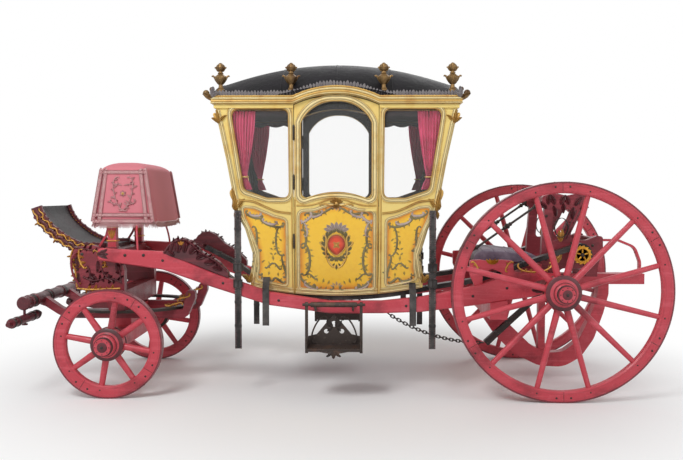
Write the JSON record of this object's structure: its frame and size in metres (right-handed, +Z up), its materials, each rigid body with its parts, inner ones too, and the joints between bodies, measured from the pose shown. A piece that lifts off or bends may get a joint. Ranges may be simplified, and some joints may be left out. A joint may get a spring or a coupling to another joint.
{
  "type": "horse-drawn coach",
  "caption": "Berlin coach: cabin with arched doors slung in leather braces between two side perches, steered fore-carriage, large rear wheels and folding steps",
  "frame": {"origin": "on the ground, at the middle of the whole outline", "axes": "+X to the rear of the coach, which faces -X, +Y to the driver's right, +Z up"},
  "size_m": [4.8799, 1.78, 2.545],
  "materials": {
    "red_wood": "satin",
    "iron": "matte",
    "gold_panel": "gloss",
    "gilt": "satin",
    "ratchet_gilt": "satin",
    "glass": "clear",
    "roof_leather": "satin",
    "strap_leather": "satin",
    "lining_wood": "matte",
    "velvet": "matte",
    "hammercloth_velvet": "matte"
  },
  "bodies": {
    "carriage": {"brace_brackets": "red_wood", "brace_winders": "ratchet_gilt", "cabin_floor": "lining_wood", "cabin_front_wall": "gold_panel", "cabin_rear_wall": "gold_panel", "cabin_seats": "lining_wood", "check_straps": "strap_leather", "cornice": "gilt", "curtains": "velvet", "drag_chain": "iron", "drag_staff": "iron", "footboard": "red_wood", "footboard_lining": "strap_leather", "front_transom": "red_wood", "hammercloth": "hammercloth_velvet", "main_braces": "strap_leather", "perch_left": "red_wood", "perch_right": "red_wood", "quarter_front_left": "gold_panel", "quarter_front_right": "gold_panel", "quarter_rear_left": "gold_panel", "quarter_rear_right": "gold_panel", "rear_axle": "red_wood", "rear_beam": "red_wood", "rear_board": "red_wood", "rear_board_pad": "strap_leather", "rear_standard": "red_wood", "rear_transom": "red_wood", "roof": "roof_leather", "roof_finials": "gilt", "seat_cushions": "velvet", "seat_frame": "red_wood", "standard_rods": "iron", "step_brackets": "iron", "under_bow": "red_wood", "window_glass": "glass"},
    "fore_carriage": {"front_axle": "red_wood", "futchells": "red_wood", "wheel_plate": "iron", "splinter_bar": "red_wood"},
    "door_left": {"door_left": "gold_panel", "door_glass_left": "glass"},
    "door_right": {"door_right": "gold_panel", "door_glass_right": "glass"},
    "step_left": {"step_left": "iron"},
    "step_right": {"step_right": "iron"},
    "swingletree_left": {"swingletree_left": "red_wood"},
    "swingletree_right": {"swingletree_right": "red_wood"},
    "rear_wheel_left": {"rear_wheel_left_nave": "red_wood", "rear_wheel_left_rim": "red_wood", "rear_wheel_left_tyre": "iron"},
    "rear_wheel_right": {"rear_wheel_right_nave": "red_wood", "rear_wheel_right_rim": "red_wood", "rear_wheel_right_tyre": "iron"},
    "front_wheel_left": {"front_wheel_left_nave": "red_wood", "front_wheel_left_rim": "red_wood", "front_wheel_left_tyre": "iron"},
    "front_wheel_right": {"front_wheel_right_nave": "red_wood", "front_wheel_right_rim": "red_wood", "front_wheel_right_tyre": "iron"}
  },
  "joints": [
    {"name": "steering", "type": "hinge", "parent": "carriage", "child": "fore_carriage", "pos_m": [-1.728, 0, 0.61], "axis": [0, 0, 1], "range_deg": [-40, 40]},
    {"name": "rear_wheel_left_turn", "type": "hinge", "parent": "carriage", "child": "rear_wheel_left", "pos_m": [1.59, -0.75, 0.8], "axis": [0, 1, 0], "continuous": true},
    {"name": "rear_wheel_right_turn", "type": "hinge", "parent": "carriage", "child": "rear_wheel_right", "pos_m": [1.59, 0.75, 0.8], "axis": [0, 1, 0], "continuous": true},
    {"name": "front_wheel_left_turn", "type": "hinge", "parent": "fore_carriage", "child": "front_wheel_left", "pos_m": [-1.728, -0.68, 0.405], "axis": [0, 1, 0], "continuous": true},
    {"name": "front_wheel_right_turn", "type": "hinge", "parent": "fore_carriage", "child": "front_wheel_right", "pos_m": [-1.728, 0.68, 0.405], "axis": [0, 1, 0], "continuous": true},
    {"name": "door_left_swing", "type": "hinge", "parent": "carriage", "child": "door_left", "pos_m": [-0.3645, -0.533, 1.49], "axis": [0, 0, -1], "range_deg": [0, 90]},
    {"name": "step_left_fold", "type": "hinge", "parent": "carriage", "child": "step_left", "pos_m": [-0.06, -0.7, 0.702], "axis": [-1, 0, 0], "range_deg": [0, 60]},
    {"name": "swingletree_left_pivot", "type": "hinge", "parent": "fore_carriage", "child": "swingletree_left", "pos_m": [-2.395, -0.575, 0.572], "axis": [0, 0, 1], "range_deg": [-15, 15]},
    {"name": "door_right_swing", "type": "hinge", "parent": "carriage", "child": "door_right", "pos_m": [-0.3645, 0.533, 1.49], "axis": [0, 0, 1], "range_deg": [0, 90]},
    {"name": "step_right_fold", "type": "hinge", "parent": "carriage", "child": "step_right", "pos_m": [-0.06, 0.7, 0.702], "axis": [1, 0, 0], "range_deg": [0, 60]},
    {"name": "swingletree_right_pivot", "type": "hinge", "parent": "fore_carriage", "child": "swingletree_right", "pos_m": [-2.395, 0.575, 0.572], "axis": [0, 0, 1], "range_deg": [-15, 15]}
  ]
}
